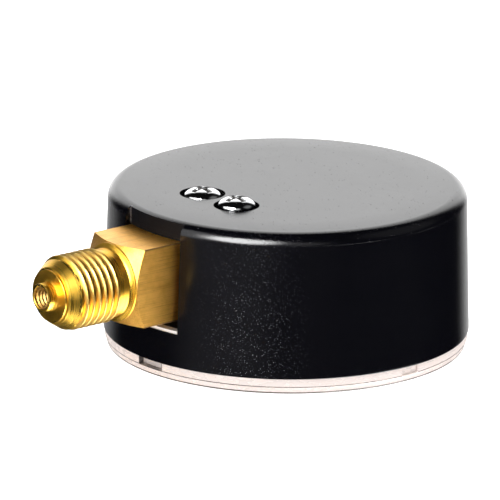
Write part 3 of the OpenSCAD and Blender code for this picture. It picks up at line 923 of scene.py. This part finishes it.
def cross_cutter(x, y, top_z):
    """Cutter for a cross recess: it narrows in steps of height, reach and half width of its arms."""
    levels = [(top_z + 0.4, 2.55, 0.62), (top_z - 0.3, 2.25, 0.52), (top_z - 1.3, 1.0, 0.34),
              (top_z - 1.7, 0.25, 0.15)]
    verts, faces = [], []
    for z, reach, half_w in levels:
        verts += [(x + px, y + py, z) for px, py in cross_outline(reach, half_w)]
    n = 12
    for i in range(len(levels) - 1):
        for k in range(n):
            m = (k + 1) % n
            faces.append((i * n + k, i * n + m, (i + 1) * n + m, (i + 1) * n + k))
    faces.append(tuple(range(n)))
    faces.append(tuple((len(levels) - 1) * n + k for k in reversed(range(n))))
    return from_pydata("cross", verts, faces)


def dome_height(r):
    """Height of the pan head over its side: flat in the middle, rolled over at the rim."""
    return HEAD_DOME * (1 - min(r / HEAD_R, 1) ** 2.5) ** 0.72


def screw_profile(seat):
    """Outline of a pan-head screw, from the top of its head to its point."""
    side_top = seat + HEAD_SIDE
    outline = [(0, seat + HEAD_SIDE + HEAD_DOME)]
    outline += [(HEAD_R * t, dome_height(HEAD_R * t) + seat + HEAD_SIDE)
                for t in (0.08, 0.2, 0.35, 0.5, 0.62, 0.72, 0.8, 0.86, 0.91, 0.95, 0.98)]
    outline += [(HEAD_R - 0.03, side_top - 0.02), (HEAD_R, side_top - 0.15), (HEAD_R, seat + 0.1),
                (HEAD_R - 0.1, seat), (SCREW_R + 0.1, seat), (SCREW_R, seat - 0.2)]
    for turn in range(int((SCREW_LEN - 1.2) / SCREW_PITCH)):
        crest_z = seat - 0.6 - turn * SCREW_PITCH
        outline += [(SCREW_R, crest_z), (SCREW_R - 0.25, crest_z - 0.25)]
    end_z = seat - SCREW_LEN
    return outline + [(SCREW_R, end_z + 0.4), (SCREW_R - 0.4, end_z), (0, end_z)]


def make_case_screws():
    seats = (SCREW_SEAT_Z, SCREW_SEAT_Z + STANDOFF)
    screws = []
    for x, seat in zip((-SCREW_X, SCREW_X), seats):
        screw = lathe("screw", screw_profile(seat), 96, closed=False, centre=(x, SCREW_Y))
        boolean(screw, cross_cutter(x, SCREW_Y, seat + HEAD_SIDE + HEAD_DOME))
        screws.append(screw)
    pair = join(screws, "case_screw_pair")
    bevel(pair, 0.05, 2, 45)
    paint(shade(pair, 35), CHROME, SCREW_RECESS_SHADE)
    for poly in pair.data.polygons:
        spot = poly.center / MM
        on_right = spot.x > 0
        from_axis = math.hypot(spot.x - (SCREW_X if on_right else -SCREW_X), spot.y - SCREW_Y)
        over_side = spot.z - seats[int(on_right)] - HEAD_SIDE
        under_dome = dome_height(from_axis) - 0.06 > over_side > HEAD_DOME - 1.9
        # Faces inside the cross recess get the painted recess shade
        poly.material_index = int(from_axis < 2.5 and under_dome)
    place(pair, "case_body", "bright_screws", "case_screws")


make_case_screws()

# ---------------------------------------------------------------- dial print

# Direction of the scale's zero in degrees, and how far the scale runs, clockwise through the window
ZERO_ANGLE = -45
SWEEP = 270
FULL_SCALE = 10
MINOR_STEPS = 5
INK_T = 0.02
SCALE_LOW_R, SCALE_HIGH_R = 25.6, 25.9
# Inner radius and width of the strokes
MAJOR_STROKE, MINOR_STROKE = (22.6, 0.5), (24.4, 0.2)
NUMBER_R, NUMBER_SIZE = 20.0, 4.2
UNIT_Y, UNIT_SIZE = 9.5, 3.4


def on_dial(obj):
    """Puts flat print, drawn x to the right and y up, on the face that looks down."""
    obj.data.transform(Matrix.Diagonal((-1, 1, -1, 1)))
    obj.data.transform(Matrix.Translation((0, 0, (DIAL_FACE_Z - INK_T / 4) * MM)))
    outward(obj)


def print_bar(angle, r0, r1, width):
    """A radial stroke at a world angle, before on_dial() turns it over."""
    stroke = box_mesh("stroke", (r0, -width / 2, -INK_T / 2), (r1, width / 2, INK_T / 2))
    return turn_z(stroke, 180 - angle)


def print_text(text, x, y, size):
    """Generic lettering as a thin solid, centred on a point."""
    curve = bpy.data.curves.new("text", "FONT")
    curve.body = text
    curve.size = size * MM
    curve.extrude = INK_T / 2 * MM
    curve.align_x = "CENTER"
    curve.align_y = "CENTER"
    curve.resolution_u = 4
    source = linked("text", curve)
    graph = bpy.context.evaluated_depsgraph_get()
    mesh = bpy.data.meshes.new_from_object(source.evaluated_get(graph))
    bpy.data.objects.remove(source)
    bm = bmesh.new()
    bm.from_mesh(mesh)
    bmesh.ops.remove_doubles(bm, verts=bm.verts, dist=1e-7)
    bm.to_mesh(mesh)
    bm.free()
    mesh.transform(Matrix.Translation((x * MM, y * MM, 0)))
    return linked("text", mesh)


def scale_arc():
    """The arc that the strokes hang from."""
    start, end = 180 - ZERO_ANGLE - SWEEP, 180 - ZERO_ANGLE
    steps = 180
    verts, faces = [], []
    for k in range(steps + 1):
        a = math.radians(start + (end - start) * k / steps)
        for r, side in ((SCALE_LOW_R, -1), (SCALE_HIGH_R, -1), (SCALE_HIGH_R, 1), (SCALE_LOW_R, 1)):
            verts.append((r * math.cos(a), r * math.sin(a), side * INK_T / 2))
    for k in range(steps):
        for m in range(4):
            n = (m + 1) % 4
            faces.append((4 * k + m, 4 * k + n, 4 * k + 4 + n, 4 * k + 4 + m))
    faces += [(0, 1, 2, 3), tuple(4 * steps + m for m in (3, 2, 1, 0))]
    return from_pydata("scale_arc", verts, faces)


def make_dial_print():
    parts = [scale_arc()]
    for k in range(FULL_SCALE * MINOR_STEPS + 1):
        angle = ZERO_ANGLE + SWEEP * k / (FULL_SCALE * MINOR_STEPS)
        low_r, width = MINOR_STROKE if k % MINOR_STEPS else MAJOR_STROKE
        parts.append(print_bar(angle, low_r, SCALE_LOW_R - 0.02, width))
    for value in range(0, FULL_SCALE + 1, 2):
        a = math.radians(180 - ZERO_ANGLE - SWEEP * value / FULL_SCALE)
        parts.append(print_text(str(value), NUMBER_R * math.cos(a), NUMBER_R * math.sin(a), NUMBER_SIZE))
    parts.append(print_text("bar", 0, UNIT_Y, UNIT_SIZE))
    marks = join(parts, "dial_print")
    on_dial(marks)
    paint(marks, INK)
    place(marks, "case_body", "pointer_black")


make_dial_print()

# ---------------------------------------------------------------- bourdon tube

TUBE_R, TUBE_Z = 20.5, 18.0
TUBE_T, TUBE_W, TUBE_WALL = 2.2, 8.0, 0.3
TUBE_START, TUBE_END = -87, 165
TUBE_STEPS = 126


def stadium(half_t, half_w, steps):
    """Radius offset and height round a flat tube's outline with round ends."""
    top = arc(0, half_w - half_t, half_t, 0, 180, steps)
    low = arc(0, half_t - half_w, half_t, 180, 360, steps)
    return top + low


def make_tube():
    outer = stadium(TUBE_T / 2, TUBE_W / 2, 8)
    inner = stadium(TUBE_T / 2 - TUBE_WALL, TUBE_W / 2 - TUBE_WALL, 8)
    n = len(outer)
    verts, faces = [], []
    for k in range(TUBE_STEPS + 1):
        a = math.radians(TUBE_START + (TUBE_END - TUBE_START) * k / TUBE_STEPS)
        for dr, dz in outer + inner:
            verts.append(((TUBE_R + dr) * math.cos(a), (TUBE_R + dr) * math.sin(a), TUBE_Z + dz))
    for k in range(TUBE_STEPS):
        low, high = 2 * n * k, 2 * n * (k + 1)
        for m in range(n):
            j = (m + 1) % n
            faces.append((low + m, low + j, high + j, high + m))
            faces.append((low + n + j, low + n + m, high + n + m, high + n + j))
    for base in (0, 2 * n * TUBE_STEPS):
        for m in range(n):
            j = (m + 1) % n
            faces.append((base + m, base + j, base + n + j, base + n + m))
    tube = from_pydata("tube_shell", verts, faces)
    paint(shade(tube, 40), BRONZE_TUBE)
    place(tube, None, "tube_bronze", "bourdon_tube")
    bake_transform(tube)


make_tube()

# ---------------------------------------------------------------- CAD nodes that stay

FINISHES = {"dial": ENAMEL_AND_BACK_SHADE, "pointer": LACQUER, "hairspring": BRONZE_SPRING}
STEEL_NODES = ("tip_pin", "tail_pin", "sector_arbor", "pinion_shaft", "plate_screws", "movement_screws",
               "dial_screws")
for name in STEEL_NODES:
    FINISHES[name] = STEEL
for name, node in NODES.items():
    if not node.hide_render:
        paint(node, FINISHES.get(name, BRASS_MOVEMENT))

# ---------------------------------------------------------------- stage, lights, camera

AZIMUTH = math.radians(50.315)
ELEVATION = math.radians(16.795)
ROLL = math.radians(0.576)
DISTANCE = 1.200
LENS = 491.8
SENSOR = 36
# The point that the camera aims at: its height on the case's axis, and its shift in the picture
AIM_Z, AIM_LEFT, AIM_UP = 16.24, 6.49, 0.09
CAMERA_BACK = Vector((math.sin(AZIMUTH) * math.cos(ELEVATION), -math.cos(AZIMUTH) * math.cos(ELEVATION),
                      math.sin(ELEVATION)))
CAMERA_BACK_FLAT = Vector((math.sin(AZIMUTH), -math.cos(AZIMUTH), 0))
CAMERA_RIGHT = Vector((math.cos(AZIMUTH), math.sin(AZIMUTH), 0))
FLOOR_HALF, FLOOR_Z = 9000, -0.05


def make_floor():
    """White paper that glows, so that it stays white, and that the gloss doesn't mirror."""
    corners = [(-FLOOR_HALF, -FLOOR_HALF, FLOOR_Z), (FLOOR_HALF, -FLOOR_HALF, FLOOR_Z),
               (FLOOR_HALF, FLOOR_HALF, FLOOR_Z), (-FLOOR_HALF, FLOOR_HALF, FLOOR_Z)]
    floor = from_pydata("floor", corners, [(0, 1, 2, 3)])
    f = Finish("floor_paper", (0.86, 0.86, 0.86), 0.9)
    f.set("Emission Color", (1, 1, 1, 1))
    f.set("Emission Strength", 0.97)
    f.set("Specular IOR Level", 0.1)
    paint(floor, f)
    floor.visible_glossy = False


def toward(azimuth, elevation):
    """Unit vector at degrees from the camera's own azimuth, positive to its right, and up."""
    a, e = math.radians(azimuth), math.radians(elevation)
    flat = CAMERA_BACK_FLAT * math.cos(a) + CAMERA_RIGHT * math.sin(a)
    return flat * math.cos(e) + Vector((0, 0, 1)) * math.sin(e)


# Soft studio cards, each with its azimuth and elevation in degrees, the angle inside which it is full,
# the angle at which it is gone, and its radiance
CARDS = [
    (180, 20, 26, 42, 1.85),
    (-31, 24, 16, 26, 19.0),
    (-64, 23, 22, 32, 1.5),
    (85, 31, 16, 34, 0.15),
    (80, -58, 18, 36, 10.5),
    (-40, -20, 15, 40, 0.15),
    (8, -12, 12, 36, 0.03),
    (7, 16, 9, 22, 0.55),
    (-73, -51, 12, 26, 1.1),
    (165, -18, 6, 26, 0.65),
    (-158, -20, 6, 28, 0.42),
]
# What reflections see between the cards, and what diffuse surfaces see all round
AMBIENT = 0.0045
ROOM = 0.95


def make_world():
    """Soft cards on a dark room for reflections, and a plain white backdrop for the camera."""
    world = bpy.data.worlds.new("studio")
    bpy.context.scene.world = world
    world.use_nodes = True
    tree = world.node_tree
    out = tree.nodes["Background"]
    coords = tree.nodes.new("ShaderNodeTexCoord")

    def math_node(operation, a, b):
        node = tree.nodes.new("ShaderNodeMath")
        node.operation = operation
        for k, value in enumerate((a, b)):
            if isinstance(value, (int, float)):
                node.inputs[k].default_value = value
            else:
                tree.links.new(value, node.inputs[k])
        return node.outputs[0]

    total = AMBIENT
    for azimuth, elevation, inner, outer, strength in CARDS:
        dot = tree.nodes.new("ShaderNodeVectorMath")
        dot.operation = "DOT_PRODUCT"
        dot.inputs[1].default_value = toward(azimuth, elevation)
        tree.links.new(coords.outputs["Generated"], dot.inputs[0])
        angle = math_node("ARCCOSINE", dot.outputs["Value"], 0)
        ramp = tree.nodes.new("ShaderNodeMapRange")
        ramp.interpolation_type = "SMOOTHSTEP"
        ramp.inputs["From Min"].default_value = math.radians(inner)
        ramp.inputs["From Max"].default_value = math.radians(outer)
        ramp.inputs["To Min"].default_value = strength
        ramp.inputs["To Max"].default_value = 0
        tree.links.new(angle, ramp.inputs["Value"])
        total = math_node("ADD", ramp.outputs["Result"], total)
    path = tree.nodes.new("ShaderNodeLightPath").outputs
    even = tree.nodes.new("ShaderNodeMix")
    tree.links.new(path["Is Diffuse Ray"], even.inputs[0])
    tree.links.new(total, even.inputs[2])
    even.inputs[3].default_value = ROOM
    strength = math_node("MAXIMUM", even.outputs[0], path["Is Camera Ray"])
    tree.links.new(strength, out.inputs["Strength"])
    out.inputs["Color"].default_value = (1, 1, 1, 1)
    world.cycles.sampling_method = "NONE"


def make_overhead_light():
    """A large soft light behind the object and high over it, which reflections don't show."""
    data = bpy.data.lights.new("overhead", "AREA")
    data.shape = "RECTANGLE"
    data.size, data.size_y = 1.2, 1.2
    data.energy = 8
    light = linked("overhead", data)
    light.location = toward(120, 72) * 2.6
    light.rotation_mode = "QUATERNION"
    light.rotation_quaternion = (Vector((0, 0, 0.02)) - light.location).to_track_quat("-Z", "Y")
    light.visible_glossy = False


def make_camera():
    data = bpy.data.cameras.new("camera")
    data.lens = LENS
    data.sensor_width = SENSOR
    data.clip_start, data.clip_end = 0.05, 30
    cam = linked("camera", data)
    up = CAMERA_BACK.cross(CAMERA_RIGHT)
    right = CAMERA_RIGHT * math.cos(ROLL) + up * math.sin(ROLL)
    up = up * math.cos(ROLL) - CAMERA_RIGHT * math.sin(ROLL)
    target = Vector((0, 0, AIM_Z * MM)) - right * AIM_LEFT * MM + up * AIM_UP * MM
    position = target + CAMERA_BACK * DISTANCE
    basis = Matrix((right, up, CAMERA_BACK)).transposed().to_4x4()
    basis.translation = position
    cam.matrix_world = basis
    bpy.context.scene.camera = cam


make_floor()
make_world()
make_camera()
make_overhead_light()
bpy.context.scene.view_settings.view_transform = "Standard"
